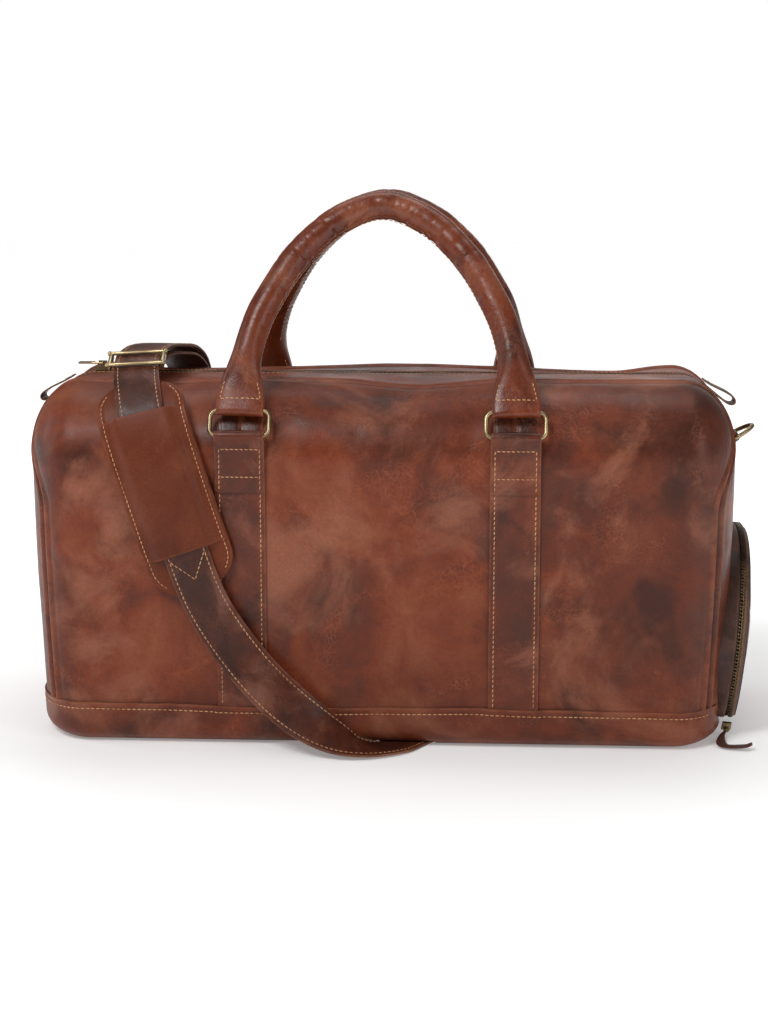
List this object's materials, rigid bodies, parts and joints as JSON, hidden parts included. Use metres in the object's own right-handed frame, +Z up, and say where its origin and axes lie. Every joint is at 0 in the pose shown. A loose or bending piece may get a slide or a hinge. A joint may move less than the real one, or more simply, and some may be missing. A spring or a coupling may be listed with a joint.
{
  "type": "duffel bag",
  "caption": "Leather travel duffel with rolled handles on rectangular rings, padded shoulder strap with snap hooks, top zip mouth and an arched shoe compartment.",
  "frame": {"origin": "on the floor under the middle of the bag's base", "axes": "+X along the bag's length to the end with the shoe compartment, front faces -Y, +Z up"},
  "size_m": [0.6371, 0.388, 0.4609],
  "materials": {
    "bag_leather": "mottled reddish-brown waxed pull-up leather, satin",
    "trim_leather": "dark brown leather trim",
    "strap_leather": "dark purple-brown strap leather with raw tan edges",
    "pad_leather": "mid-brown matte leather",
    "antique_brass": "antique brass, worn",
    "zip": "dark antique brass teeth on brown tape",
    "lining_cloth": "plain woven brown cotton",
    "core_foam": "dense cord core",
    "stiffener": "pressed fibre board"
  },
  "bodies": {
    "bag": {"front_panel": "bag_leather", "back_panel": "bag_leather", "base_panel": "bag_leather", "left_end_panel": "bag_leather", "right_end_panel": "bag_leather", "left_zip_end": "zip", "right_zip_end": "zip", "lining": "lining_cloth", "base_board": "stiffener", "front_left_band": "bag_leather", "front_right_band": "bag_leather", "back_left_band": "bag_leather", "back_right_band": "bag_leather", "left_chape": "trim_leather", "right_chape": "trim_leather", "left_zip_tab": "trim_leather", "right_zip_tab": "trim_leather", "shoe_rim": "trim_leather", "shoe_zip_fixed_side": "zip", "shoe_pouch": "lining_cloth", "strap_front_run": "strap_leather", "strap_back_run": "strap_leather", "strap_under_layer": "strap_leather", "strap_slide": "antique_brass", "pad_base": "pad_leather", "pad_sleeve": "pad_leather", "back_hook_eye": "antique_brass", "floor_hook_eye": "antique_brass"},
    "front_rings": {"front_left_ring": "antique_brass", "front_right_ring": "antique_brass"},
    "front_handle": {"front_handle": "bag_leather", "front_handle_core": "core_foam"},
    "back_rings": {"back_left_ring": "antique_brass", "back_right_ring": "antique_brass"},
    "back_handle": {"back_handle": "bag_leather", "back_handle_core": "core_foam"},
    "front_lip": {"front_lip": "bag_leather", "front_zip_chain": "zip"},
    "back_lip": {"back_lip": "bag_leather", "back_zip_chain": "zip"},
    "main_slider": {"main_zip_slider": "antique_brass"},
    "main_pull": {"main_zip_pull": "antique_brass"},
    "left_d_ring": {"left_d_ring": "antique_brass"},
    "right_d_ring": {"right_d_ring": "antique_brass"},
    "shoe_door": {"shoe_door": "bag_leather", "shoe_zip_door_side": "zip"},
    "shoe_slider": {"shoe_zip_slider": "antique_brass"},
    "shoe_pull": {"shoe_zip_pull": "trim_leather"},
    "back_hook": {"back_hook_body": "antique_brass"},
    "back_hook_gate": {"back_hook_gate": "antique_brass"},
    "floor_hook": {"floor_hook_body": "antique_brass"},
    "floor_hook_gate": {"floor_hook_gate": "antique_brass"}
  },
  "joints": [
    {"name": "front_rings_swing", "type": "hinge", "parent": "bag", "child": "front_rings", "pos_m": [0, -0.13, 0.264], "axis": [1, 0, 0], "range_deg": [0, 150]},
    {"name": "front_handle_swing", "type": "hinge", "parent": "front_rings", "child": "front_handle", "pos_m": [0, -0.1207, 0.28394], "axis": [1, 0, 0], "range_deg": [0, 30]},
    {"name": "back_rings_swing", "type": "hinge", "parent": "bag", "child": "back_rings", "pos_m": [0, 0.13, 0.264], "axis": [-1, 0, 0], "range_deg": [0, 150]},
    {"name": "back_handle_swing", "type": "hinge", "parent": "back_rings", "child": "back_handle", "pos_m": [0, 0.1207, 0.28394], "axis": [-1, 0, 0], "range_deg": [0, 30]},
    {"name": "front_lip_open", "type": "hinge", "parent": "bag", "child": "front_lip", "pos_m": [0, -0.058, 0.303], "axis": [1, 0, 0], "range_deg": [0, 75]},
    {"name": "back_lip_open", "type": "hinge", "parent": "bag", "child": "back_lip", "pos_m": [0, 0.058, 0.303], "axis": [-1, 0, 0], "range_deg": [0, 75]},
    {"name": "main_zip_travel", "type": "slide", "parent": "bag", "child": "main_slider", "axis": [1, 0, 0], "range_m": [0, 0.5]},
    {"name": "main_pull_swing", "type": "hinge", "parent": "main_slider", "child": "main_pull", "pos_m": [-0.25, 0, 0.3099], "axis": [0, 1, 0], "range_deg": [0, 170]},
    {"name": "left_d_ring_swing", "type": "hinge", "parent": "bag", "child": "left_d_ring", "pos_m": [-0.304, 0, 0.249], "axis": [0, 1, 0], "range_deg": [-18, 110]},
    {"name": "right_d_ring_swing", "type": "hinge", "parent": "bag", "child": "right_d_ring", "pos_m": [0.304, 0, 0.249], "axis": [0, -1, 0], "range_deg": [-110, 25]},
    {"name": "shoe_door_open", "type": "hinge", "parent": "bag", "child": "shoe_door", "pos_m": [0.29799, 0, 0.01724], "axis": [0, 1, 0], "range_deg": [0, 57]},
    {"name": "shoe_zip_travel", "type": "hinge", "parent": "bag", "child": "shoe_slider", "pos_m": [0.29517, 0, 0.074], "axis": [0.9962, 0, -0.0872], "range_deg": [-258, 0]},
    {"name": "shoe_pull_swing", "type": "hinge", "parent": "shoe_slider", "child": "shoe_pull", "pos_m": [0.29675, -0.07958, 0.00479], "axis": [0, 0, 1], "range_deg": [-3, 20]},
    {"name": "back_hook_swivel", "type": "hinge", "parent": "bag", "child": "back_hook", "pos_m": [-0.188, 0.14, 0.15258], "axis": [0, 0.0109, -0.9999], "continuous": true},
    {"name": "back_gate_open", "type": "hinge", "parent": "back_hook", "child": "back_hook_gate", "pos_m": [-0.179, 0.14003, 0.14948], "axis": [0, 0.9999, 0.0109], "range_deg": [0, 20], "stiffness_Nm_per_rad": 0.02, "springref_deg": -17.19},
    {"name": "floor_hook_swivel", "type": "hinge", "parent": "bag", "child": "floor_hook", "pos_m": [0.19633, 0.19265, 0.0053], "axis": [0.5047, 0.8633, 0], "continuous": true},
    {"name": "floor_gate_open", "type": "hinge", "parent": "floor_hook", "child": "floor_hook_gate", "pos_m": [0.20566, 0.19079, 0.0053], "axis": [0, 0, 1], "range_deg": [0, 20], "stiffness_Nm_per_rad": 0.02, "springref_deg": -17.19}
  ]
}
